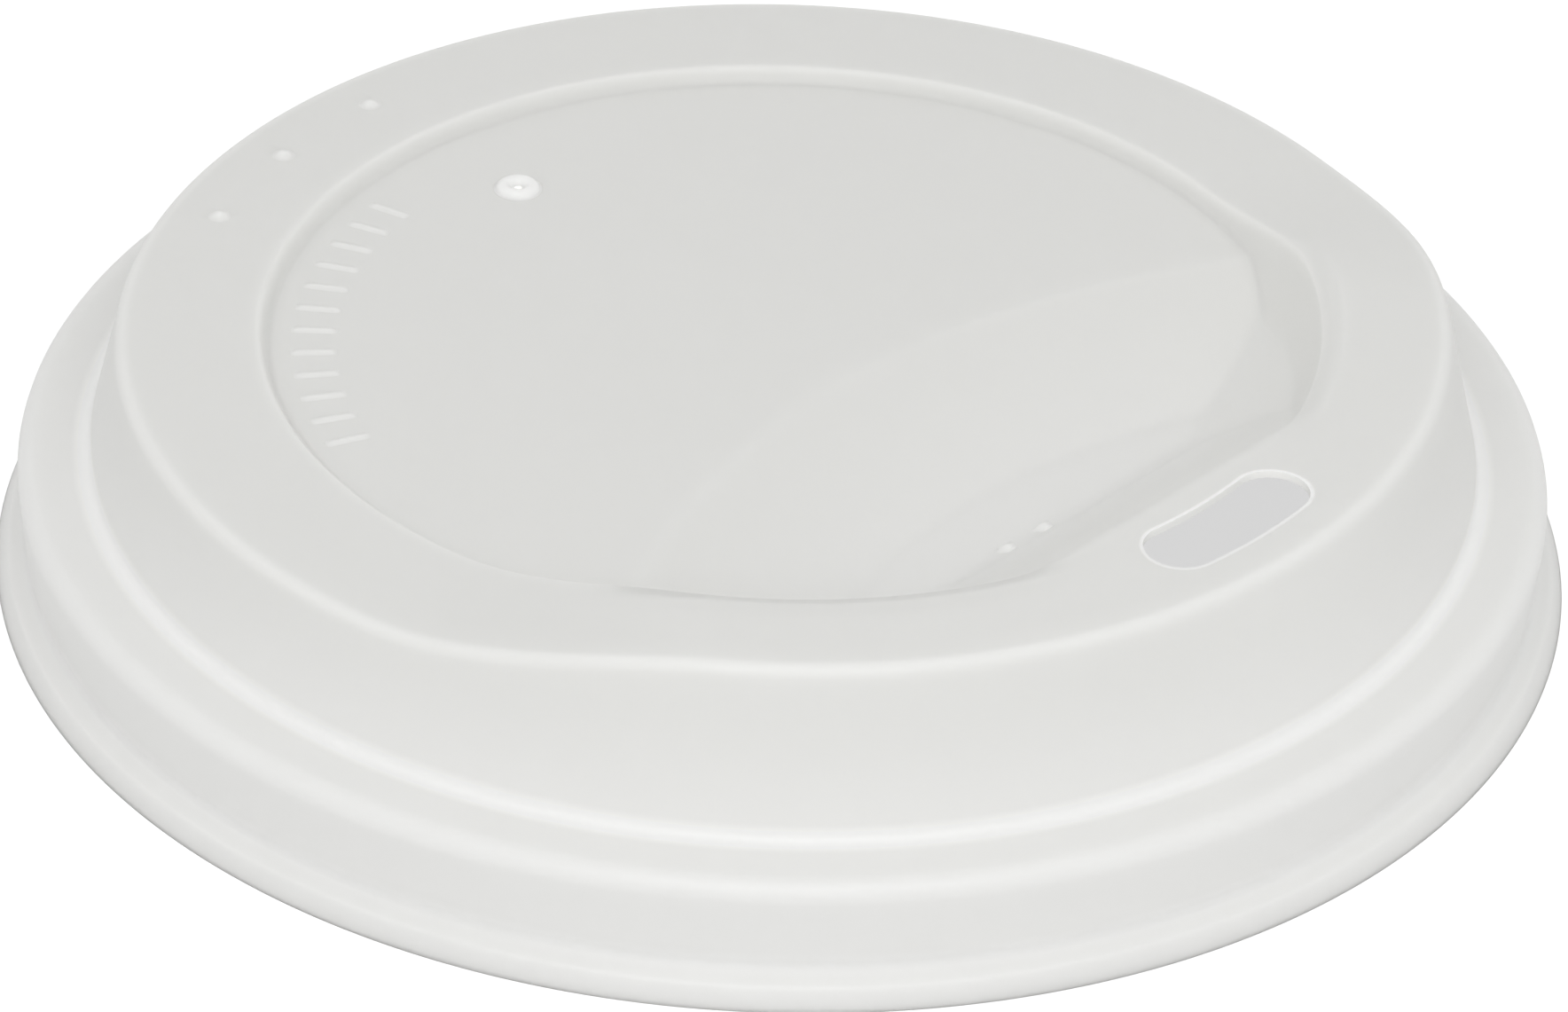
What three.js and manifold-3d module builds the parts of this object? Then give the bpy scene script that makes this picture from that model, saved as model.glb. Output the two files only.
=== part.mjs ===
// Sip-through dome lid for a paper hot cup, thermoformed in one piece from a sheet of milky white plastic.
// Millimetres, +Z up. The origin is the centre of the round foot that the lid stands on,
// and +X points to the drinking side, where the sip slot is. The vent lies on the other side.

import * as THREE from 'three';
import { mergeVertices } from 'three/addons/utils/BufferGeometryUtils.js';
import Module from 'manifold-3d';

const wasm = await Module();
wasm.setup();

// The sheet. A full round is drawn with roundFlats flats, a small one with smallFlats.
const wall = 0.45;
const roundFlats = 84;
const smallFlats = 16;
const filletSteps = 3;

// The skirt round the cup's rim, its rounded shoulder and the level flange that sits on the rim.
const shoulderRadius = 45.7;
const shoulderFillet = 1.15;
const skirtHeight = 5.6;
const flangeWidth = 4.3;

// The neck below the skirt, which snaps under the cup's rolled rim, and the flared lip that ends the sheet.
const neckTuck = 0.55;
const neckFillet = 0.6;
const neckRise = 0.7;
const lipKneeHeight = 1.2;
const lipKneeInset = 0.7;
const lipKneeFillet = 0.7;
const lipFlare = 1.85;

// The tapered dome wall. Its top is level on the vent side, and rises to a platform on the drinking side.
// The platform is level up to platformDegrees on either side of its middle, and its fall ends at fallDegrees.
// Its middle lies platformTurnDegrees round from the middle of the slot.
const domeRise = 7.45;
const domeTaperDegrees = 13.8;
const domeFootFillet = 0.6;
const topEdgeFillet = 0.8;
const sipRise = 2.45;
const platformTurnDegrees = -3.5;
const platformDegrees = 48.5;
const fallDegrees = 80;

// The shallow round recess in the top, a little nearer the vent than the middle, and the land round it.
const landWidth = 8.67;
const recessShift = 0.35;
const recessDepth = 1.0;
const recessWallDegrees = 66;

// The trough for the upper lip: a ramp falls from the recess floor to a level bottom,
// and a round wall with one straight stretch climbs from there to the sip land.
const troughDepth = 4.95;
const troughWallRun = 10.15;
const troughWallDegrees = 38;
const troughRoundRadius = 30.8;
const troughRoundBulge = 3.4;
const troughBottomLength = 5.0;
const rampFootRadius = 42.2;
const rampSlopeDegrees = 21.4;

// The sip slot, a piece of a ring with round ends, set in from the outer edge of the land.
const slotInset = 4.97;
const slotWidth = 4.3;
const slotLength = 12.3;

// The vent on the recess floor, a cupped button with a pinhole, set in from the recess edge.
const ventInset = 7.55;
const ventSideways = 1.2;
const ventButtonRadius = 1.3;
const ventRimRadius = 0.95;
const ventCupRadius = 0.55;
const ventHeight = 0.4;
const pinholeRadius = 0.25;

// Plain embossed ribs in an arc on the recess floor, beside the vent.
const ribCount = 12;
const ribFirstDegrees = -112;
const ribPitchDegrees = -5;
const ribInset = 2.35;
const ribLength = 2.7;
const ribWidth = 0.55;
const ribHeight = 0.25;

// Plain raised dots on the land beyond the vent, and two dashes at the foot of the trough wall.
const dotCount = 3;
const dotInset = 3.47;
const dotFirstDegrees = -155;
const dotPitchDegrees = -13;
const dotRadius = 0.6;
const dotHeight = 0.3;
const dashInset = 0.2;
const dashPlaces = [-2.6, 0.6];
const dashLength = 1.5;

// How deep a raised mark is rooted in the sheet, how far cutters run past what they cut,
// how far the land runs on inside the recess edge before it is cut, and the gap that counts as none.
const root = wall / 2;
const overrun = 3;
const landLap = 12;
const noGap = 1e-5;

const radians = THREE.MathUtils.degToRad;
const domeTaper = Math.tan(radians(domeTaperDegrees));

// Heights from the foot up, and radii from the skirt outwards and inwards.
const neckHeight = lipKneeHeight + neckRise;
const flangeHeight = neckHeight + skirtHeight;
const domeHeight = flangeHeight + domeRise;
const recessHeight = domeHeight - recessDepth;
const troughHeight = domeHeight - troughDepth;
const neckRadius = shoulderRadius - neckTuck;
const footRadius = neckRadius + lipFlare;
const domeFootRadius = shoulderRadius - flangeWidth;
const topRadius = domeFootRadius - domeRise * domeTaper;
const recessRadius = topRadius - landWidth;
const recessFloorRadius = recessRadius - recessDepth / Math.tan(radians(recessWallDegrees));
const troughFlatReach = recessRadius - recessShift - troughWallRun;

const milkyPlastic = new THREE.MeshStandardMaterial({
  color: 0xdedfdb,
  roughness: 0.42,
  metalness: 0,
});

// A closed geometry as a solid, and a solid as a geometry.
function solid(geometry) {
  const bare = geometry.index ? geometry.clone() : geometry;
  bare.deleteAttribute('normal');
  bare.deleteAttribute('uv');
  const merged = mergeVertices(bare, noGap);
  const mesh = new wasm.Mesh({
    numProp: 3,
    vertProperties: new Float32Array(merged.attributes.position.array),
    triVerts: new Uint32Array(merged.index.array),
  });
  return new wasm.Manifold(mesh);
}

function geometryOf(manifold) {
  const mesh = manifold.getMesh();
  const geometry = new THREE.BufferGeometry();
  geometry.setAttribute('position', new THREE.BufferAttribute(mesh.vertProperties, mesh.numProp));
  geometry.setIndex(new THREE.BufferAttribute(mesh.triVerts, 1));
  return geometry;
}

// A solid of revolution about Z from [radius, height] points that start and end on the axis.
function turned(points, flats = roundFlats) {
  const profile = points.map(([radius, height]) => new THREE.Vector2(radius, height));
  const geometry = new THREE.LatheGeometry(profile, flats);
  geometry.rotateX(Math.PI / 2);
  return geometry;
}

// The section of the lid's outer face, from the foot up to the land: corners with their fillets.
function sectionCorners() {
  return [
    { r: footRadius, z: 0, fillet: 0 },
    { r: footRadius - lipKneeInset, z: lipKneeHeight, fillet: lipKneeFillet, outward: true },
    { r: neckRadius, z: neckHeight, fillet: neckFillet, outward: false },
    { r: shoulderRadius, z: flangeHeight, fillet: shoulderFillet, outward: true },
    { r: domeFootRadius, z: flangeHeight, fillet: domeFootFillet, outward: false },
    { r: topRadius, z: domeHeight, fillet: topEdgeFillet, outward: true },
    { r: 0, z: domeHeight, fillet: 0 },
  ];
}

// The same corners on a face that lies deeper by the thickness of the sheet.
function deeperCorners(corners, depth) {
  const inward = (a, b) => {
    const length = Math.hypot(b.r - a.r, b.z - a.z);
    return { r: -(b.z - a.z) / length, z: (b.r - a.r) / length };
  };
  return corners.map((corner, i) => {
    const before = corners[Math.max(i - 1, 0)];
    const after = corners[Math.min(i + 1, corners.length - 1)];
    const first = i > 0 ? inward(before, corner) : inward(corner, after);
    const second = i < corners.length - 1 ? inward(corner, after) : first;
    const share = depth / (1 + first.r * second.r + first.z * second.z);
    const change = corner.outward ? -depth : depth;
    return {
      r: Math.max(corner.r + (first.r + second.r) * share, 0),
      z: corner.z + (first.z + second.z) * share,
      fillet: corner.fillet > 0 ? Math.max(corner.fillet + change, wall / 4) : 0,
      outward: corner.outward,
    };
  });
}

// The corners as points, each fillet an arc of a few steps.
function filleted(corners) {
  const points = [];
  corners.forEach((corner, i) => {
    if (corner.fillet === 0) {
      points.push([corner.r, corner.z]);
      return;
    }
    const here = new THREE.Vector2(corner.r, corner.z);
    const back = new THREE.Vector2(corners[i - 1].r, corners[i - 1].z).sub(here).normalize();
    const ahead = new THREE.Vector2(corners[i + 1].r, corners[i + 1].z).sub(here).normalize();
    const half = Math.acos(THREE.MathUtils.clamp(back.dot(ahead), -1, 1)) / 2;
    const bisector = back.clone().add(ahead).normalize();
    const centre = bisector.multiplyScalar(corner.fillet / Math.sin(half)).add(here);
    const start = back.multiplyScalar(corner.fillet / Math.tan(half)).add(here).sub(centre);
    const end = ahead.multiplyScalar(corner.fillet / Math.tan(half)).add(here).sub(centre);
    const sweep = Math.atan2(start.cross(end), start.dot(end));
    for (let k = 0; k <= filletSteps; k += 1) {
      const arm = start.clone().rotateAround(new THREE.Vector2(0, 0), (sweep * k) / filletSteps);
      points.push([centre.x + arm.x, centre.y + arm.y]);
    }
  });
  return points;
}

// How far the land stands above its vent side at an angle from the drinking side.
function landRise(angle) {
  const away = Math.acos(Math.cos(angle - radians(platformTurnDegrees)));
  return sipRise * (1 - THREE.MathUtils.smoothstep(away, radians(platformDegrees), radians(fallDegrees)));
}

// Lifts the dome so that its top rises to the platform, while its wall keeps its taper.
function raiseSipSide(geometry, baseHeight, topHeight) {
  const position = geometry.attributes.position;
  for (let i = 0; i < position.count; i += 1) {
    const x = position.getX(i);
    const y = position.getY(i);
    const z = position.getZ(i);
    const radius = Math.hypot(x, y);
    const share = THREE.MathUtils.clamp((z - baseHeight) / (topHeight - baseHeight), 0, 1);
    if (radius > noGap && share > 0) {
      const lift = landRise(Math.atan2(y, x)) * share;
      const narrow = (radius - lift * domeTaper) / radius;
      position.setXYZ(i, x * narrow, y * narrow, z + lift);
    }
  }
  return geometry;
}

// The dome as a full body, with its outer face moved in by a depth.
function domeBody(depth, bottom) {
  const corners = deeperCorners(sectionCorners(), depth);
  const [foot, knee] = corners;
  const slope = (foot.r - knee.r) / (knee.z - foot.z);
  corners[0] = { r: foot.r + (foot.z - bottom) * slope, z: bottom, fillet: 0 };
  const landInner = { r: recessRadius - landLap, z: domeHeight - depth, fillet: 0 };
  corners.splice(corners.length - 1, 0, landInner);
  const points = filleted(corners);
  points.unshift([0, bottom]);
  return solid(raiseSipSide(turned(points), flangeHeight + domeFootFillet, domeHeight - depth));
}

// A round cutter that widens upwards, with its floor at a height. Growing moves every face outwards.
function flaredCutter(centreX, bottomRadius, bottomHeight, slopeDegrees, grow) {
  const slope = radians(slopeDegrees);
  const top = domeHeight + sipRise + overrun;
  const floor = bottomHeight - grow;
  const low = bottomRadius + grow / Math.sin(slope) - grow / Math.tan(slope);
  const high = low + (top - floor) / Math.tan(slope);
  const geometry = turned([[0, floor], [low, floor], [high, top], [0, top]]);
  geometry.translate(centreX, 0, 0);
  return solid(geometry);
}

// The round recess pressed to a depth, its wall running down from the recess edge.
function recessCutter(depth, grow) {
  const bottomRadius = recessRadius - depth / Math.tan(radians(recessWallDegrees));
  return flaredCutter(-recessShift, bottomRadius, domeHeight - depth, recessWallDegrees, grow);
}

// The straight stretch of the trough wall, as a long block with one sloping side.
function troughFlatCutter(grow) {
  const slope = radians(troughWallDegrees);
  const top = domeHeight + sipRise + overrun;
  const floor = troughHeight - grow;
  const reach = troughFlatReach + grow / Math.sin(slope) - grow / Math.tan(slope);
  const outline = new THREE.Shape();
  outline.moveTo(-footRadius, floor);
  outline.lineTo(reach, floor);
  outline.lineTo(reach + (top - floor) / Math.tan(slope), top);
  outline.lineTo(-footRadius, top);
  outline.closePath();
  const geometry = new THREE.ExtrudeGeometry(outline, { depth: 2 * footRadius, bevelEnabled: false });
  geometry.rotateX(Math.PI / 2);
  geometry.translate(0, footRadius, 0);
  return solid(geometry);
}

// All that is pressed out of the top: the shallow recess, and the ramp down to the trough floor,
// both held inside the trough's round and straight walls, which climb to the sip land.
function pocketCutter(grow) {
  const rampCentre = troughFlatReach - troughBottomLength + rampFootRadius;
  const roundCentre = troughFlatReach + troughRoundBulge - troughRoundRadius;
  const ramp = flaredCutter(rampCentre, rampFootRadius, troughHeight, rampSlopeDegrees, grow);
  const round = flaredCutter(roundCentre, troughRoundRadius, troughHeight, troughWallDegrees, grow);
  const trough = recessCutter(troughDepth, grow).intersect(ramp);
  return recessCutter(recessDepth, grow).add(trough).intersect(round).intersect(troughFlatCutter(grow));
}

// The lid's outer face as a full body, and the hollow under the sheet.
function pressedBody(depth, bottom) {
  return domeBody(depth, bottom).subtract(pocketCutter(depth));
}

// The sip slot as a cutter through the land.
function slotCutter() {
  const slotRadius = topRadius - sipRise * domeTaper - slotInset;
  const half = slotWidth / 2;
  const angle = (slotLength / 2 - half) / slotRadius;
  const endX = slotRadius * Math.cos(angle);
  const endY = slotRadius * Math.sin(angle);
  const outline = new THREE.Shape();
  outline.absarc(0, 0, slotRadius + half, -angle, angle, false);
  outline.absarc(endX, endY, half, angle, angle + Math.PI, false);
  outline.absarc(0, 0, slotRadius - half, angle, -angle, true);
  outline.absarc(endX, -endY, half, Math.PI - angle, 2 * Math.PI - angle, false);
  const depth = 2 * overrun + sipRise;
  const curveSegments = smallFlats / 2;
  const geometry = new THREE.ExtrudeGeometry(outline, { depth, bevelEnabled: false, curveSegments });
  geometry.translate(0, 0, domeHeight - overrun);
  return solid(geometry);
}

// The vent's button, with its cup, standing on the recess floor, and the pinhole through it.
function ventButton() {
  const points = [
    [0, -root],
    [ventButtonRadius, -root],
    [ventButtonRadius, 0],
    [ventRimRadius, ventHeight],
    [ventCupRadius, 0],
    [0, 0],
  ];
  return solid(atVent(turned(points, smallFlats)));
}

function pinhole() {
  const geometry = new THREE.CylinderGeometry(pinholeRadius, pinholeRadius, 2 * overrun, smallFlats);
  return solid(atVent(geometry.rotateX(Math.PI / 2)));
}

function atVent(geometry) {
  return geometry.translate(ventInset - recessRadius - recessShift, ventSideways, recessHeight);
}

// One embossed bar, its top standing a rib height above the face at a height.
function bar(length, width, faceHeight) {
  const geometry = new THREE.BoxGeometry(length, width, ribHeight + root);
  return geometry.translate(0, 0, faceHeight + (ribHeight - root) / 2);
}

function embossedRibs() {
  const ribs = [];
  for (let i = 0; i < ribCount; i += 1) {
    const rib = bar(ribLength, ribWidth, recessHeight);
    rib.translate(recessFloorRadius - ribInset, 0, 0);
    rib.rotateZ(radians(ribFirstDegrees + i * ribPitchDegrees));
    ribs.push(solid(rib));
  }
  return ribs;
}

function troughDashes() {
  return dashPlaces.map((place) => {
    const dash = bar(ribWidth, dashLength, troughHeight);
    return solid(dash.translate(troughFlatReach - dashInset, place, 0));
  });
}

function landDots() {
  const dots = [];
  for (let i = 0; i < dotCount; i += 1) {
    const angle = radians(dotFirstDegrees + i * dotPitchDegrees);
    const points = [
      [0, -root],
      [dotRadius, -root],
      [dotRadius, 0],
      [dotRadius * Math.SQRT1_2, dotHeight * Math.SQRT1_2],
      [0, dotHeight],
    ];
    const dot = turned(points, smallFlats);
    dot.translate(topRadius - dotInset, 0, domeHeight + landRise(angle));
    dots.push(solid(dot.rotateZ(angle)));
  }
  return dots;
}

function domeLid() {
  const marks = [ventButton(), ...embossedRibs(), ...troughDashes(), ...landDots()];
  const outer = pressedBody(0, 0);
  const hollow = pressedBody(wall, -overrun);
  const marked = marks.reduce((body, mark) => body.add(mark), outer.subtract(hollow));
  const shell = marked.subtract(slotCutter()).subtract(pinhole());
  const mesh = new THREE.Mesh(geometryOf(shell), milkyPlastic);
  mesh.name = 'dome_lid';
  return mesh;
}

const lid = new THREE.Group();
lid.add(domeLid());

export default lid;
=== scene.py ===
import math

import bmesh
import bpy
from mathutils import Matrix, Vector


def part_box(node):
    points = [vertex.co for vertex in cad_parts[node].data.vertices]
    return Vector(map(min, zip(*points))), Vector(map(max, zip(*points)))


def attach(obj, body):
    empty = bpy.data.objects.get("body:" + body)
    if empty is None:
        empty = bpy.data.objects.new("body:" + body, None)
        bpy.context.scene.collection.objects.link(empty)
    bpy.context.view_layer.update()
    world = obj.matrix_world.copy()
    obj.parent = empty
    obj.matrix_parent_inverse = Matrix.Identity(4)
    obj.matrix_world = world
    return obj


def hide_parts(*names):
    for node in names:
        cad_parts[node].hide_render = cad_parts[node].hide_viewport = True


# A sip-through dome lid for a paper hot cup, pressed in one piece from a sheet of milky white plastic.
# It stands on its foot at z = 0, centred on the Z axis. +X points to the drinking side.
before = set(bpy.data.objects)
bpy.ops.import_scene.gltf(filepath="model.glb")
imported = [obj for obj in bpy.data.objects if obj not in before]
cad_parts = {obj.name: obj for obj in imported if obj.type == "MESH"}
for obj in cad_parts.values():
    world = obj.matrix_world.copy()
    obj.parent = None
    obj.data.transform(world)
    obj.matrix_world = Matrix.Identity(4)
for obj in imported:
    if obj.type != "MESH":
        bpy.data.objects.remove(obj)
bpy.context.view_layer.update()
mm = 0.001


# The camera, a long lens on a tripod. It looks down at the lid from beside the sip slot,
# and it is rolled by two degrees.
photo_width = 1768
focal_pixels = 8000
film_width = 36
tilt = math.radians(33.2329)
roll = math.radians(2.0274)
turn_to_lid = math.radians(42)
camera_distance = 427.7235 * mm
axis_left_of_centre = -0.2104 * mm
foot_below_centre = -1.999 * mm


def place_camera():
    right = Vector((1, 0, 0))
    forward = Vector((0, math.cos(tilt), -math.sin(tilt)))
    up = Vector((0, math.sin(tilt), math.cos(tilt)))
    across = math.cos(roll) * right + math.sin(roll) * up
    upright = math.cos(roll) * up - math.sin(roll) * right
    place = -forward * camera_distance - across * axis_left_of_centre - upright * foot_below_centre
    axes = Matrix((across, upright, -forward)).transposed().to_4x4()
    lens = bpy.data.cameras.new("tripod_camera")
    lens.sensor_width = film_width
    lens.lens = film_width * focal_pixels / photo_width
    lens.clip_start = 0.01
    camera = bpy.data.objects.new("tripod_camera", lens)
    camera.matrix_world = Matrix.Rotation(turn_to_lid, 4, "Z") @ Matrix.Translation(place) @ axes
    bpy.context.collection.objects.link(camera)
    bpy.context.scene.camera = camera


place_camera()


# The lid itself: one sheet of milky plastic, about half a millimetre thick, heated and pressed over a
# mould. From the foot it runs up the skirt, over the flange and up the dome, and its top is pressed
# down into a shallow round recess, which ends in a trough for the upper lip.
low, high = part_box("dome_lid")
foot_radius = (high[0] - low[0]) / 2
lid_height = high[2] - low[2]
sheet = 0.45 * mm
lip_flare = 1.85 * mm
lip_knee_inset = 0.7 * mm
lip_knee_height = 1.2 * mm
neck_height = 1.9 * mm
shoulder_inset = 1.3 * mm
top_edge_fillet = 0.8 * mm
dome_foot_fillet = 0.6 * mm
shoulder_fillet = 1.15 * mm
neck_fillet = 0.6 * mm
lip_knee_fillet = 0.7 * mm
sip_rise = 2.45 * mm
platform_turn = math.radians(-3.5)
platform_angle = math.radians(48.5)
fall_end_angle = math.radians(80)
dome_height = lid_height - sip_rise
flange_height = 7.5 * mm
dome_foot_radius = foot_radius - 5.6 * mm
dome_taper = math.tan(math.radians(13.8))
top_radius = dome_foot_radius - (dome_height - flange_height) * dome_taper
recess_radius = top_radius - 8.67 * mm
recess_shift = 0.35 * mm
recess_floor = dome_height - 1.0 * mm
trough_floor = dome_height - 4.95 * mm
trough_flat_reach = recess_radius - 10.5 * mm
turns = 360
slot_radius = 34.0 * mm
slot_width = 4.3 * mm
slot_length = 12.3 * mm


def rounded(corners, steps):
    """Section corners (radius, height, fillet) as points, each fillet an arc."""
    points = []
    for i, (radius, height, fillet) in enumerate(corners):
        here = Vector((radius, height))
        if fillet == 0:
            points.append(here)
            continue
        back = (Vector(corners[i - 1][:2]) - here).normalized()
        ahead = (Vector(corners[i + 1][:2]) - here).normalized()
        half = back.angle(ahead) / 2
        centre = here + (back + ahead).normalized() * fillet / math.sin(half)
        start = here + back * fillet / math.tan(half) - centre
        end = here + ahead * fillet / math.tan(half) - centre
        sweep = start.angle_signed(end)
        for k in range(steps + 1):
            arm = start.copy()
            arm.rotate(Matrix.Rotation(-sweep * k / steps, 2))
            points.append(centre + arm)
    return points


def spaced(first, last, step):
    """Radii from first to last, a step apart, without the last."""
    count = max(round(abs(last - first) / step), 1)
    return [first + (last - first) * k / count for k in range(count)]


def lid_section():
    """The section of the unpressed sheet, from the axis out to the foot."""
    radii = spaced(0, 14 * mm, 0.7 * mm)
    radii += spaced(14 * mm, recess_radius - 1.4 * mm, 0.42 * mm)
    radii += spaced(recess_radius - 1.4 * mm, recess_radius + 0.9 * mm, 0.1 * mm)
    radii += spaced(recess_radius + 0.9 * mm, top_radius - 0.7 * mm, 1.3 * mm)
    corners = [
        (recess_radius, dome_height, 0),
        (top_radius, dome_height, top_edge_fillet),
        (dome_foot_radius, flange_height, dome_foot_fillet),
        (foot_radius - shoulder_inset, flange_height, shoulder_fillet),
        (foot_radius - lip_flare, neck_height, neck_fillet),
        (foot_radius - lip_knee_inset, lip_knee_height, lip_knee_fillet),
        (foot_radius, 0, 0),
    ]
    return [Vector((radius, dome_height)) for radius in radii] + rounded(corners, 6)[1:]


def as_object(name, vertices, edges=(), faces=()):
    mesh = bpy.data.meshes.new(name)
    mesh.from_pydata([tuple(v) for v in vertices], list(edges), [tuple(f) for f in faces])
    piece = bpy.data.objects.new(name, mesh)
    bpy.context.collection.objects.link(piece)
    return piece


class Amount:
    """A number that changes over the sheet, kept as the output of a node."""

    def __init__(self, tree, socket):
        self.tree = tree
        self.socket = socket

    def made(self, operation, *others):
        node = self.tree.nodes.new("ShaderNodeMath")
        node.operation = operation
        for socket, value in zip(node.inputs, (self, *others)):
            if isinstance(value, Amount):
                self.tree.links.new(value.socket, socket)
            else:
                socket.default_value = value
        return Amount(self.tree, node.outputs[0])

    def __add__(self, other):
        return self.made("ADD", other)

    def __sub__(self, other):
        return self.made("SUBTRACT", other)

    def __mul__(self, other):
        return self.made("MULTIPLY", other)

    def __truediv__(self, other):
        return self.made("DIVIDE", other)

    def __pow__(self, other):
        return self.made("POWER", other)

    def eased_away(self, first, last):
        """One up to the first value, falling softly to none at the last."""
        node = self.tree.nodes.new("ShaderNodeMapRange")
        node.interpolation_type = "SMOOTHSTEP"
        settings = {"Value": self, "From Min": first, "From Max": last, "To Min": 1.0, "To Max": 0.0}
        for name, value in settings.items():
            if isinstance(value, Amount):
                self.tree.links.new(value.socket, node.inputs[name])
            else:
                node.inputs[name].default_value = value
        return Amount(self.tree, node.outputs["Result"])

    def limited(self):
        node = self.tree.nodes.new("ShaderNodeClamp")
        self.tree.links.new(self.socket, node.inputs["Value"])
        return Amount(self.tree, node.outputs[0])


def distance_from(x, y, centre):
    """How far (x, y) lies from a point on the X axis."""
    return ((x - centre) ** 2 + y ** 2).made("SQRT")


def new_tree(name, sizes):
    """An empty geometry tree with one named input for each size."""
    tree = bpy.data.node_groups.new(name, "GeometryNodeTree")
    tree.interface.new_socket("Geometry", in_out="INPUT", socket_type="NodeSocketGeometry")
    tree.interface.new_socket("Geometry", in_out="OUTPUT", socket_type="NodeSocketGeometry")
    for size in sizes:
        kind = "NodeSocketInt" if isinstance(sizes[size], int) else "NodeSocketFloat"
        tree.interface.new_socket(size, in_out="INPUT", socket_type=kind)
    start = tree.nodes.new("NodeGroupInput")
    return tree, start, {size: Amount(tree, start.outputs[size]) for size in sizes}


def finish_tree(tree, geometry, material):
    """Ends a tree in Realize Instances and Set Material."""
    realize = tree.nodes.new("GeometryNodeRealizeInstances")
    paint = tree.nodes.new("GeometryNodeSetMaterial")
    paint.inputs["Material"].default_value = material
    end = tree.nodes.new("NodeGroupOutput")
    tree.links.new(geometry, realize.inputs[0])
    tree.links.new(realize.outputs[0], paint.inputs["Geometry"])
    tree.links.new(paint.outputs[0], end.inputs[0])


def add_tree(piece, tree, sizes):
    """Puts the tree on a piece and sets its inputs by their identifiers."""
    modifier = piece.modifiers.new(tree.name, "NODES")
    modifier.node_group = tree
    for socket in tree.interface.items_tree:
        if socket.in_out == "INPUT" and socket.name in sizes:
            modifier[socket.identifier] = sizes[socket.name]


def plain_mesh(piece):
    """Turns what the modifiers make into the piece's own mesh."""
    depsgraph = bpy.context.evaluated_depsgraph_get()
    mesh = bpy.data.meshes.new_from_object(piece.evaluated_get(depsgraph))
    piece.modifiers.clear()
    piece.data = mesh
    mesh.name = piece.name
    return piece


pressing_sizes = {
    "Turns": turns,
    "Sip rise": sip_rise,
    "Platform turn": platform_turn,
    "Platform angle": platform_angle,
    "Fall end angle": fall_end_angle,
    "Dome taper": dome_taper,
    "Flange height": flange_height + dome_foot_fillet,
    "Dome height": dome_height,
    "Top radius": top_radius,
    "Recess radius": recess_radius,
    "Recess shift": recess_shift,
    "Recess floor": recess_floor,
    "Recess wall slope": math.tan(math.radians(66)),
    "Trough floor": trough_floor,
    "Trough wall slope": math.tan(math.radians(38)),
    "Trough flat reach": trough_flat_reach,
    "Trough round reach": trough_flat_reach + 3.4 * mm,
    "Trough round radius": 30.8 * mm,
    "Ramp foot reach": trough_flat_reach - 5.0 * mm,
    "Ramp foot radius": 42.2 * mm,
    "Ramp slope": math.tan(math.radians(21.4)),
    "Land edge blend": 0.75 * mm,
    "Floor blend": 0.7 * mm,
    "Ramp blend": 0.2 * mm,
}


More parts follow.
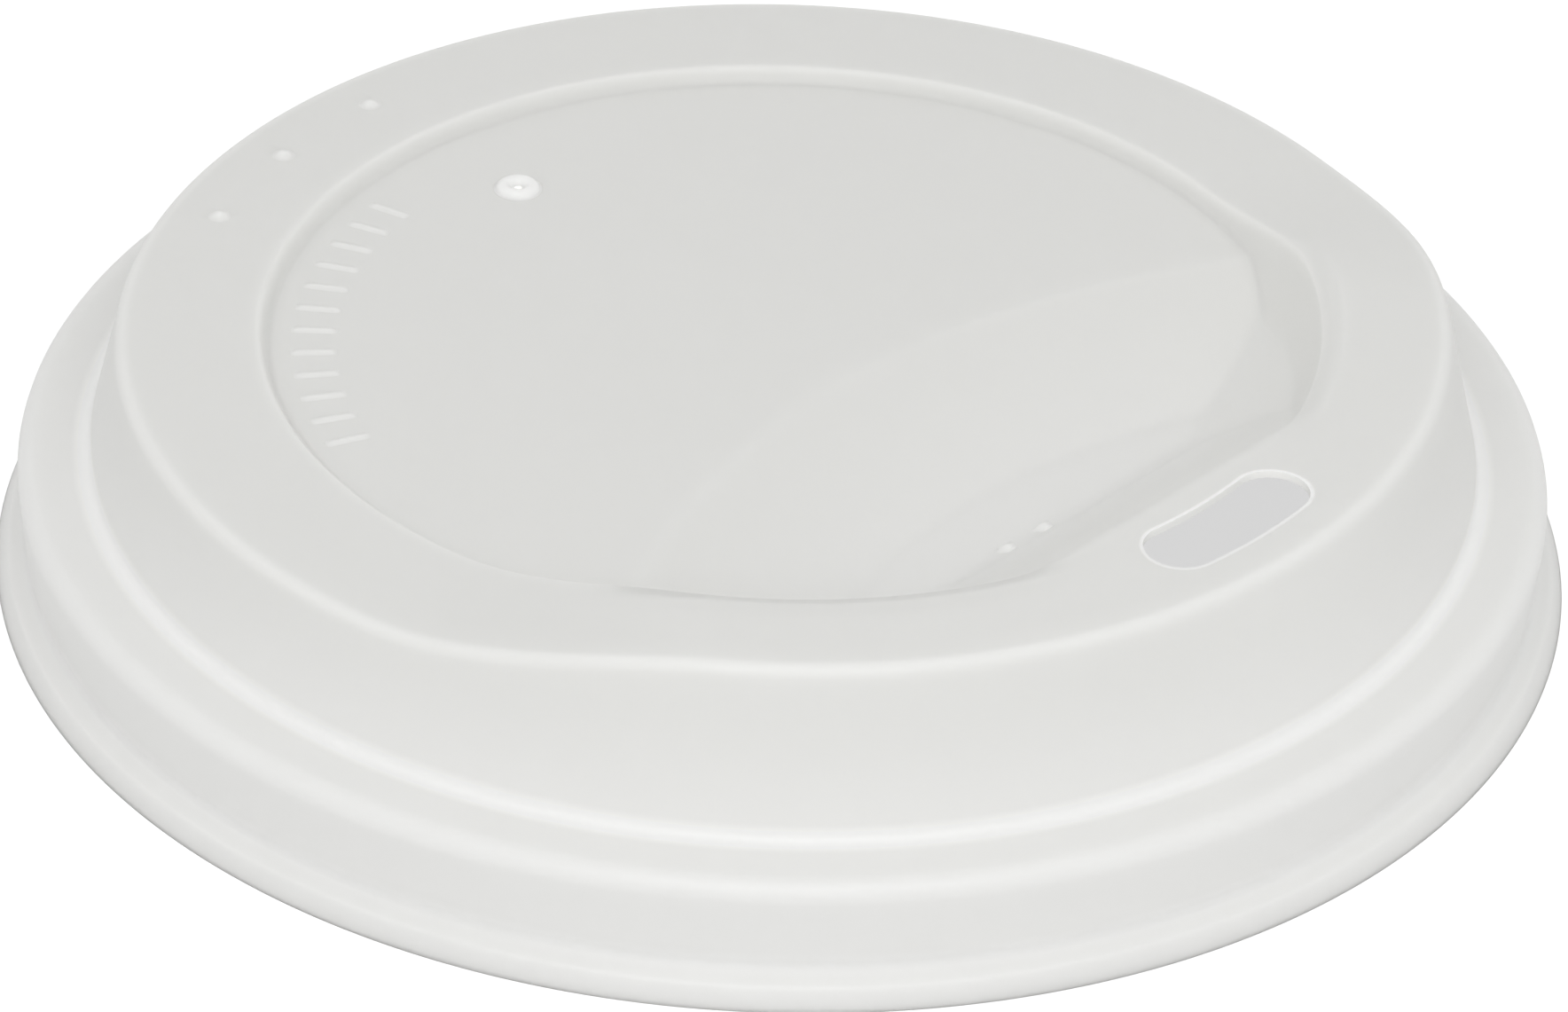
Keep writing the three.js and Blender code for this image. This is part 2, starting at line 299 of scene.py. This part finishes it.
def pressing_tree(material):
    """Turns the section into the full round, lifts the sip side and presses the top down."""
    tree, start, size = new_tree("press_the_sheet", pressing_sizes)
    section = start.outputs["Geometry"]
    count = tree.nodes.new("GeometryNodeAttributeDomainSize")
    tree.links.new(section, count.inputs[0])
    stations = Amount(tree, count.outputs["Point Count"])
    grid = tree.nodes.new("GeometryNodeMeshGrid")
    tree.links.new(stations.socket, grid.inputs["Vertices X"])
    tree.links.new((size["Turns"] + 1).socket, grid.inputs["Vertices Y"])
    index = Amount(tree, tree.nodes.new("GeometryNodeInputIndex").outputs[0])
    row = size["Turns"] + 1
    station = ((index + 0.5) / row).made("FLOOR")
    angle = (index - station * row) / size["Turns"] * math.tau
    sample = tree.nodes.new("GeometryNodeSampleIndex")
    sample.data_type = "FLOAT_VECTOR"
    place = tree.nodes.new("GeometryNodeInputPosition")
    tree.links.new(section, sample.inputs["Geometry"])
    tree.links.new(place.outputs[0], sample.inputs["Value"])
    tree.links.new(station.socket, sample.inputs["Index"])
    split = tree.nodes.new("ShaderNodeSeparateXYZ")
    tree.links.new(sample.outputs[0], split.inputs[0])
    radius = Amount(tree, split.outputs["X"])
    height = Amount(tree, split.outputs["Z"])

    from_middle = (angle - size["Platform turn"]).made("COSINE").made("ARCCOSINE")
    platform = from_middle.eased_away(size["Platform angle"], size["Fall end angle"])
    dome_rise = size["Dome height"] - size["Flange height"]
    up_the_wall = ((height - size["Flange height"]) / dome_rise).limited()
    lift = size["Sip rise"] * platform * up_the_wall
    land_width = size["Top radius"] - size["Recess radius"]
    across_land = ((radius - size["Recess radius"]) / land_width).limited()
    reach = radius - lift * size["Dome taper"] * across_land
    shift = (across_land * -1 + 1) * size["Recess shift"]
    x = reach * angle.made("COSINE") - shift
    y = reach * angle.made("SINE")

    ramp_reach = distance_from(x, y, size["Ramp foot reach"] + size["Ramp foot radius"])
    ramp = (ramp_reach - size["Ramp foot radius"]) * size["Ramp slope"] + size["Trough floor"]
    ramp = ramp.made("SMOOTH_MIN", size["Recess floor"], size["Ramp blend"])
    bottom = ramp.made("SMOOTH_MAX", size["Trough floor"], size["Ramp blend"])
    recess_reach = distance_from(x, y, size["Recess shift"] * -1) - size["Recess radius"]
    recess_wall = recess_reach * size["Recess wall slope"] + size["Dome height"]
    round_centre = size["Trough round reach"] - size["Trough round radius"]
    past_round = distance_from(x, y, round_centre) - size["Trough round radius"]
    past_flat = x - size["Trough flat reach"]
    past_trough = past_round.made("SMOOTH_MAX", past_flat, size["Floor blend"])
    trough_wall = past_trough * size["Trough wall slope"] + size["Trough floor"]
    walls = recess_wall.made("SMOOTH_MAX", trough_wall, size["Floor blend"])
    pocket = bottom.made("SMOOTH_MAX", walls, size["Floor blend"])
    z = (height + lift).made("SMOOTH_MIN", pocket, size["Land edge blend"])

    join = tree.nodes.new("ShaderNodeCombineXYZ")
    for socket, amount in zip(join.inputs, (x, y, z)):
        tree.links.new(amount.socket, socket)
    move = tree.nodes.new("GeometryNodeSetPosition")
    tree.links.new(grid.outputs["Mesh"], move.inputs["Geometry"])
    tree.links.new(join.outputs[0], move.inputs["Position"])
    weld = tree.nodes.new("GeometryNodeMergeByDistance")
    weld.inputs["Distance"].default_value = 0.001 * mm
    tree.links.new(move.outputs[0], weld.inputs["Geometry"])
    finish_tree(tree, weld.outputs[0], material)
    return tree


def painted_edge_highlights(tree, x, y, z):
    """Painted highlights: where the sheet is bent sharply a lighter line is painted into its colour, with a
    little painted glow: the dome's top edge and foot, the shoulder and the neck. The painted highlight along
    the punched edge of the sip slot is whitest."""
    radius = distance_from(x, y, 0)
    from_sip = (x / radius).made("ARCCOSINE")
    turned_x = x * math.cos(platform_turn) + y * math.sin(platform_turn)
    from_platform = (turned_x / radius).made("ARCCOSINE")
    edge_height = from_platform.eased_away(platform_angle, fall_end_angle) * sip_rise + dome_height
    edge_reach = (edge_height - flange_height) * -dome_taper + dome_foot_radius
    from_edge = across_and_along(radius - edge_reach + 0.3 * mm, z - edge_height + 0.2 * mm)
    edge_highlights = from_edge.eased_away(0, 0.7 * mm) * 0.15
    for reach, height, strength in (
        (dome_foot_radius + 0.1 * mm, flange_height + 0.15 * mm, 1.0),
        (foot_radius - 1.7 * mm, flange_height - 0.4 * mm, 0.1),
        (foot_radius - lip_flare, neck_height, 0.3),
    ):
        from_fold = across_and_along(radius - reach, z - height)
        edge_highlights = edge_highlights.made("MAXIMUM", from_fold.eased_away(0, 1.0 * mm) * strength)
    past_straight = from_sip * slot_radius - (slot_length - slot_width) / 2
    from_middle = across_and_along(past_straight.made("MAXIMUM", 0), radius - slot_radius)
    from_cut = (from_middle - slot_width / 2).made("ABSOLUTE").eased_away(0.05 * mm, 0.32 * mm)
    return edge_highlights.made("MAXIMUM", from_cut * z.made("GREATER_THAN", recess_floor))


def across_and_along(across, along):
    """The distance that two distances at right angles make."""
    return (across ** 2 + along ** 2).made("SQRT")


def moulded_skin():
    """A shader group for the look of the pressed sheet: soft clouds in it, and the fine grain of its skin."""
    group = bpy.data.node_groups.new("moulded_skin", "ShaderNodeTree")
    effects = {"Clouds": 3, "Grain": 2}
    for effect in effects:
        group.interface.new_socket(effect + " scale", in_out="INPUT", socket_type="NodeSocketFloat")
        group.interface.new_socket(effect, in_out="OUTPUT", socket_type="NodeSocketFloat")
    start = group.nodes.new("NodeGroupInput")
    end = group.nodes.new("NodeGroupOutput")
    place = group.nodes.new("ShaderNodeTexCoord")
    for effect, detail in effects.items():
        noise = group.nodes.new("ShaderNodeTexNoise")
        noise.inputs["Detail"].default_value = detail
        group.links.new(place.outputs["Object"], noise.inputs["Vector"])
        group.links.new(start.outputs[effect + " scale"], noise.inputs["Scale"])
        group.links.new(noise.outputs["Fac"], end.inputs[effect])
    return group


skin_group = moulded_skin()


def milky_plastic(name, whiteness_and_highlight=None):
    """Satin milky sheet that light soaks into, painted paler low down as painted light from the white table.
    Its folds carry painted highlights and a painted glow, or else it is painted whiter by the amount given."""
    material = bpy.data.materials.new(name)
    material.use_nodes = True
    tree = material.node_tree
    nodes = tree.nodes
    links = tree.links
    shader = nodes["Principled BSDF"]
    shader.inputs["IOR"].default_value = 1.46
    shader.inputs["Subsurface Weight"].default_value = 0.72
    shader.inputs["Subsurface Radius"].default_value = (1.0, 1.0, 1.0)
    shader.inputs["Subsurface Scale"].default_value = 1.6 * mm
    place = nodes.new("ShaderNodeTexCoord")
    split = nodes.new("ShaderNodeSeparateXYZ")
    links.new(place.outputs["Object"], split.inputs["Vector"])
    x, y, z = (Amount(tree, split.outputs[axis]) for axis in "XYZ")

    skin = nodes.new("ShaderNodeGroup")
    skin.node_tree = skin_group
    skin.inputs["Clouds scale"].default_value = 90
    skin.inputs["Grain scale"].default_value = 2600
    # Painted light: the sheet's colour is paler low down, where the white table would light it.
    painted_table_light_ramp = nodes.new("ShaderNodeMapRange")
    painted_table_light_ramp.interpolation_type = "SMOOTHSTEP"
    painted_table_light_ramp.inputs["From Min"].default_value = dome_height
    painted_table_light_ramp.inputs["From Max"].default_value = flange_height
    links.new(z.socket, painted_table_light_ramp.inputs["Value"])
    table_light_and_clouds = nodes.new("ShaderNodeMix")
    table_light_and_clouds.inputs["Factor"].default_value = 0.12
    links.new(painted_table_light_ramp.outputs["Result"], table_light_and_clouds.inputs["A"])
    links.new(skin.outputs["Clouds"], table_light_and_clouds.inputs["B"])
    tint_and_table_light = nodes.new("ShaderNodeMix")
    tint_and_table_light.data_type = "RGBA"
    tint_and_table_light.inputs["A"].default_value = (0.838, 0.838, 0.812, 1)
    tint_and_table_light.inputs["B"].default_value = (0.925, 0.923, 0.902, 1)
    links.new(table_light_and_clouds.outputs["Result"], tint_and_table_light.inputs["Factor"])
    # Painted highlights: the folds and the slot's cut edge are painted whiter.
    highlight_mix = nodes.new("ShaderNodeMix")
    highlight_mix.data_type = "RGBA"
    highlight_mix.inputs["B"].default_value = (0.985, 0.985, 0.97, 1)
    if whiteness_and_highlight is None:
        edge_highlights = painted_edge_highlights(tree, x, y, z)
        links.new(edge_highlights.socket, highlight_mix.inputs["Factor"])
        # Painted glow: the same folds emit a little light of their own.
        links.new(edge_highlights.socket, shader.inputs["Emission Color"])
        shader.inputs["Emission Strength"].default_value = 0.12
    else:
        highlight_mix.inputs["Factor"].default_value = whiteness_and_highlight
    links.new(tint_and_table_light.outputs["Result"], highlight_mix.inputs["A"])
    links.new(highlight_mix.outputs["Result"], shader.inputs["Base Color"])

    satin = nodes.new("ShaderNodeMapRange")
    satin.inputs["To Min"].default_value = 0.34
    satin.inputs["To Max"].default_value = 0.46
    links.new(skin.outputs["Grain"], satin.inputs["Value"])
    links.new(satin.outputs["Result"], shader.inputs["Roughness"])
    relief = nodes.new("ShaderNodeBump")
    relief.inputs["Strength"].default_value = 0.12
    relief.inputs["Distance"].default_value = 0.02 * mm
    links.new(skin.outputs["Grain"], relief.inputs["Height"])
    links.new(relief.outputs["Normal"], shader.inputs["Normal"])
    return material


plastic = milky_plastic("milky_plastic")
# The raised marks are painted a little paler than the sheet; the vent is painted white all over as a painted
# highlight.
raised_plastic = milky_plastic("milky_plastic_raised", whiteness_and_highlight=0.28)
vent_highlight_plastic = milky_plastic("milky_plastic_vent_painted_highlight", whiteness_and_highlight=1.0)


# The sip slot and the vent's pinhole are punched through the sheet after it is pressed, so their
# edges are square and white. The slot is a piece of a ring, with round ends.
vent_reach = 23.7 * mm
vent_sideways = 1.2 * mm
pinhole_radius = 0.25 * mm


def cut_edge_with_painted_glow():
    """The fresh cut through the sheet, whiter than its skin, with a painted glow."""
    material = bpy.data.materials.new("milky_plastic_cut_painted_glow")
    material.use_nodes = True
    shader = material.node_tree.nodes["Principled BSDF"]
    shader.inputs["Base Color"].default_value = (0.98, 0.98, 0.96, 1)
    # Painted glow: the cut edge emits a little light of its own.
    shader.inputs["Emission Color"].default_value = (1, 1, 0.98, 1)
    shader.inputs["Emission Strength"].default_value = 0.2
    return material


def slot_outline():
    half = slot_width / 2
    swing = (slot_length / 2 - half) / slot_radius
    points = []
    for side, centre_angle in ((1, swing), (-1, -swing)):
        centre = slot_radius * Vector((math.cos(centre_angle), math.sin(centre_angle)))
        for k in range(17):
            angle = centre_angle + (k / 16 if side > 0 else k / 16 - 1) * math.pi
            points.append(centre + half * Vector((math.cos(angle), math.sin(angle))))
        inner_or_outer = slot_radius - side * half
        for k in range(1, 12):
            angle = centre_angle * (1 - k / 6)
            points.append(inner_or_outer * Vector((math.cos(angle), math.sin(angle))))
    return points


def pinhole_outline():
    angles = [math.tau * k / 24 for k in range(24)]
    centre = Vector((-vent_reach, vent_sideways))
    return [centre + pinhole_radius * Vector((math.cos(a), math.sin(a))) for a in angles]


def punch(name, outlines):
    """Upright bodies with the given outlines, long enough to pass through the sheet."""
    vertices = []
    faces = []
    for outline in outlines:
        first = len(vertices)
        count = len(outline)
        for height in (recess_floor - 2 * mm, lid_height + 2 * mm):
            vertices += [(point.x, point.y, height) for point in outline]
        faces.append(range(first + count - 1, first - 1, -1))
        faces.append(range(first + count, first + 2 * count))
        for k in range(count):
            after = (k + 1) % count
            faces.append((first + k, first + after, first + count + after, first + count + k))
    tool = as_object(name, vertices, faces=faces)
    tool.data.materials.append(cut_edge_with_painted_glow())
    return tool


# The vent, a small cupped button that the mould leaves standing on the recess floor. Its rim catches the
# light, and the pinhole lies in the middle of its cup. It is painted white all over, a painted highlight.
vent_height = 0.4 * mm


def turned(name, profile, centre, around, material):
    """A closed turned body from (radius, height) points, its first and last point on the axis."""
    vertices = [Vector((centre[0], centre[1], profile[0][1]))]
    faces = []
    for radius, height in profile[1:-1]:
        for k in range(around):
            angle = math.tau * k / around
            x = centre[0] + radius * math.cos(angle)
            y = centre[1] + radius * math.sin(angle)
            vertices.append((x, y, height))
    vertices.append((centre[0], centre[1], profile[-1][1]))
    rings = len(profile) - 2
    last = len(vertices) - 1
    for k in range(around):
        after = (k + 1) % around
        faces.append((0, 1 + after, 1 + k))
        for ring in range(rings - 1):
            inner = 1 + ring * around
            faces.append((inner + k, inner + after, inner + around + after, inner + around + k))
        outer = 1 + (rings - 1) * around
        faces.append((outer + k, outer + after, last))
    piece = as_object(name, vertices, faces=faces)
    piece.data.materials.append(material)
    piece.data.shade_smooth()
    piece.data.set_sharp_from_angle(angle=math.radians(70))
    return piece


def vent_profile():
    bottom = recess_floor - sheet / 2
    points = [(0, bottom), (1.5 * mm, bottom), (1.5 * mm, recess_floor - 0.01 * mm)]
    rim_radius = 0.88 * mm
    for k in range(1, 15):
        turn = math.pi * k / 15
        radius = rim_radius + 0.5 * mm * math.cos(turn)
        points.append((radius, recess_floor + vent_height * math.sin(turn) ** 1.3))
    points.append((0.3 * mm, recess_floor + 0.02 * mm))
    points.append((0, recess_floor + 0.02 * mm))
    return points


# Plain raised marks from the mould: an arc of short ribs on the recess floor beside the vent, and
# two dashes at the foot of the trough wall. All are soft bumps in the sheet.
rib_sizes = {
    "Count": 12,
    "First angle": math.radians(-112),
    "Pitch": math.radians(-5),
    "Arc radius": 28.0 * mm,
    "Floor": recess_floor,
}


def soft_bar(name, length, width, height):
    """A low bar with rounded sides, rooted in the sheet."""
    along = 18
    across = 10
    vertices = []
    faces = []
    for i in range(along + 1):
        for j in range(across + 1):
            u = 2 * i / along - 1
            v = 2 * j / across - 1
            bump = (1 - abs(u) ** 8) ** 2 * (1 - v ** 2) ** 2
            vertices.append((u * length / 2, v * width / 2, height * bump - 0.01 * mm))
    for i in range(along):
        for j in range(across):
            corner = i * (across + 1) + j
            faces.append((corner, corner + across + 1, corner + across + 2, corner + 1))
    bar = as_object(name, vertices, faces=faces)
    body = bmesh.new()
    body.from_mesh(bar.data)
    rim = [edge for edge in body.edges if edge.is_boundary]
    sides = bmesh.ops.extrude_edge_only(body, edges=rim)["geom"]
    lowered = [item for item in sides if isinstance(item, bmesh.types.BMVert)]
    bmesh.ops.translate(body, verts=lowered, vec=(0, 0, -sheet / 2))
    bmesh.ops.contextual_create(body, geom=[edge for edge in body.edges if edge.is_boundary])
    bmesh.ops.recalc_face_normals(body, faces=body.faces)
    body.to_mesh(bar.data)
    body.free()
    return bar


def arc_of_bars(material):
    """Copies of a bar round an arc on the recess floor, each pointing to the middle."""
    tree, start, size = new_tree("bars_round_an_arc", rib_sizes)
    line = tree.nodes.new("GeometryNodeMeshLine")
    tree.links.new(size["Count"].socket, line.inputs["Count"])
    index = Amount(tree, tree.nodes.new("GeometryNodeInputIndex").outputs[0])
    angle = index * size["Pitch"] + size["First angle"]
    place = tree.nodes.new("ShaderNodeCombineXYZ")
    tree.links.new((size["Arc radius"] * angle.made("COSINE")).socket, place.inputs["X"])
    tree.links.new((size["Arc radius"] * angle.made("SINE")).socket, place.inputs["Y"])
    tree.links.new(size["Floor"].socket, place.inputs["Z"])
    move = tree.nodes.new("GeometryNodeSetPosition")
    tree.links.new(line.outputs["Mesh"], move.inputs["Geometry"])
    tree.links.new(place.outputs[0], move.inputs["Position"])
    turn = tree.nodes.new("ShaderNodeCombineXYZ")
    tree.links.new(angle.socket, turn.inputs["Z"])
    copies = tree.nodes.new("GeometryNodeInstanceOnPoints")
    tree.links.new(move.outputs[0], copies.inputs["Points"])
    tree.links.new(start.outputs["Geometry"], copies.inputs["Instance"])
    tree.links.new(turn.outputs[0], copies.inputs["Rotation"])
    finish_tree(tree, copies.outputs[0], material)
    return tree


def embossed_ribs():
    ribs = soft_bar("embossed_ribs", 2.8 * mm, 0.8 * mm, 0.15 * mm)
    add_tree(ribs, arc_of_bars(raised_plastic), rib_sizes)
    return plain_mesh(ribs)


def trough_dash(number, place):
    dash = soft_bar(f"trough_dash_{number}", 0.8 * mm, 1.7 * mm, 0.25 * mm)
    dash.data.transform(Matrix.Translation((trough_flat_reach - 0.35 * mm, place, trough_floor)))
    dash.data.materials.append(raised_plastic)
    return dash


# Three plain raised dots on the land beyond the vent, soft domes left by the mould.
dot_radius = 0.8 * mm
dot_height = 0.3 * mm
dot_reach = top_radius - 3.47 * mm


def dot_profile(base):
    points = [(0, base - sheet / 2), (dot_radius, base - sheet / 2)]
    for k in range(10):
        share = k / 10
        bump = dot_height * (3 - 2 * share) * share ** 2
        points.append((dot_radius * (1 - share), base - 0.01 * mm + bump))
    points.append((0, base - 0.01 * mm + dot_height))
    return points


def land_dot(number):
    dot_angle = math.radians(-155 - 13 * number)
    centre = (dot_reach * math.cos(dot_angle), dot_reach * math.sin(dot_angle))
    return turned(f"land_dot_{number + 1}", dot_profile(dome_height), centre, 32, raised_plastic)


def raised_marks():
    """All that the mould leaves standing on the sheet."""
    vent = turned("vent_button", vent_profile(), (-vent_reach, vent_sideways), 48, vent_highlight_plastic)
    dashes = [trough_dash(1, -2.6 * mm), trough_dash(2, 0.6 * mm)]
    return [vent, embossed_ribs(), *dashes, *(land_dot(number) for number in range(3))]


def press_lid():
    """Presses the sheet, gives it its thickness and its raised marks, and punches it."""
    section = lid_section()
    lid = as_object("lid_shell", [(point.x, 0, point.y) for point in section])
    add_tree(lid, pressing_tree(plastic), pressing_sizes)
    thickness = lid.modifiers.new("sheet", "SOLIDIFY")
    thickness.thickness = sheet
    thickness.offset = -1
    thickness.use_even_offset = True
    marks = raised_marks()
    for mark in marks:
        join = lid.modifiers.new(mark.name, "BOOLEAN")
        join.operation = "UNION"
        join.object = mark
        join.material_mode = "TRANSFER"
    cutter = punch("punch", [slot_outline(), pinhole_outline()])
    cut = lid.modifiers.new("punch", "BOOLEAN")
    cut.operation = "DIFFERENCE"
    cut.object = cutter
    cut.material_mode = "TRANSFER"
    plain_mesh(lid)
    for vertex in lid.data.vertices:
        vertex.co.z = max(vertex.co.z, 0)
    for extra in (cutter, *marks):
        bpy.data.objects.remove(extra)
    lid.data.shade_smooth()
    lid.data.set_sharp_from_angle(angle=math.radians(55))
    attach(lid, "root")
    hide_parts("dome_lid")


press_lid()


# The floor, a plain white table top that runs past the view. The camera sees it as plain white, and it keeps
# the lid's soft shadow. Under the lid's foot its glow is turned down, a painted shadow.
floor_size = 6.0


def floor_material():
    material = bpy.data.materials.new("white_table")
    material.use_nodes = True
    nodes = material.node_tree.nodes
    links = material.node_tree.links
    nodes.clear()
    path = nodes.new("ShaderNodeLightPath")
    table = nodes.new("ShaderNodeBsdfDiffuse")
    table.inputs["Color"].default_value = (0.86, 0.86, 0.86, 1)
    shaded = nodes.new("ShaderNodeBsdfDiffuse")
    shaded.inputs["Color"].default_value = (0.34, 0.34, 0.34, 1)
    glow = nodes.new("ShaderNodeEmission")
    place = nodes.new("ShaderNodeTexCoord")
    reach = nodes.new("ShaderNodeVectorMath")
    reach.operation = "LENGTH"
    links.new(place.outputs["Object"], reach.inputs[0])
    # Painted shadow: the floor's glow is weaker under the lid's footprint.
    painted_shadow_under_lid = nodes.new("ShaderNodeMapRange")
    painted_shadow_under_lid.inputs["From Min"].default_value = foot_radius - 4 * mm
    painted_shadow_under_lid.inputs["From Max"].default_value = foot_radius - 1 * mm
    painted_shadow_under_lid.inputs["To Min"].default_value = 0.66
    painted_shadow_under_lid.inputs["To Max"].default_value = 0.78
    links.new(reach.outputs["Value"], painted_shadow_under_lid.inputs["Value"])
    links.new(painted_shadow_under_lid.outputs["Result"], glow.inputs["Strength"])
    seen = nodes.new("ShaderNodeAddShader")
    links.new(shaded.outputs[0], seen.inputs[0])
    links.new(glow.outputs[0], seen.inputs[1])
    choice = nodes.new("ShaderNodeMixShader")
    links.new(path.outputs["Is Camera Ray"], choice.inputs["Fac"])
    links.new(table.outputs[0], choice.inputs[1])
    links.new(seen.outputs[0], choice.inputs[2])
    end = nodes.new("ShaderNodeOutputMaterial")
    links.new(choice.outputs[0], end.inputs["Surface"])
    return material


half_floor = floor_size / 2
floor_corners = [(-half_floor, -half_floor, 0), (half_floor, -half_floor, 0)]
floor_corners += [(half_floor, half_floor, 0), (-half_floor, half_floor, 0)]
floor = as_object("table_top", floor_corners, faces=[(0, 1, 2, 3)])
floor.data.materials.append(floor_material())


# The light: a white room all round, and one big soft box on the camera's side.
def light_room():
    world = bpy.data.worlds.new("white_room")
    bpy.context.scene.world = world
    world.use_nodes = True
    nodes = world.node_tree.nodes
    links = world.node_tree.links
    nodes.clear()
    path = nodes.new("ShaderNodeLightPath")
    room = nodes.new("ShaderNodeBackground")
    room.inputs["Color"].default_value = (1.0, 1.0, 0.99, 1)
    room.inputs["Strength"].default_value = 0.745
    backdrop = nodes.new("ShaderNodeBackground")
    backdrop.inputs["Color"].default_value = (1, 1, 1, 1)
    choice = nodes.new("ShaderNodeMixShader")
    end = nodes.new("ShaderNodeOutputWorld")
    links.new(path.outputs["Is Camera Ray"], choice.inputs["Fac"])
    links.new(room.outputs[0], choice.inputs[1])
    links.new(backdrop.outputs[0], choice.inputs[2])
    links.new(choice.outputs[0], end.inputs["Surface"])


def soft_box(name, azimuth, elevation, distance, size, power):
    lamp = bpy.data.lights.new(name, "AREA")
    lamp.shape = "SQUARE"
    lamp.size = size
    lamp.energy = power
    towards = Vector((
        math.cos(elevation) * math.cos(azimuth),
        math.cos(elevation) * math.sin(azimuth),
        math.sin(elevation),
    ))
    holder = bpy.data.objects.new(name, lamp)
    holder.location = towards * distance
    holder.rotation_euler = towards.to_track_quat("Z", "Y").to_euler()
    bpy.context.collection.objects.link(holder)


light_room()
soft_box("front_soft_box", math.radians(-46), math.radians(46), 0.45, 0.35, 0.66)
bpy.context.scene.view_settings.view_transform = "Standard"
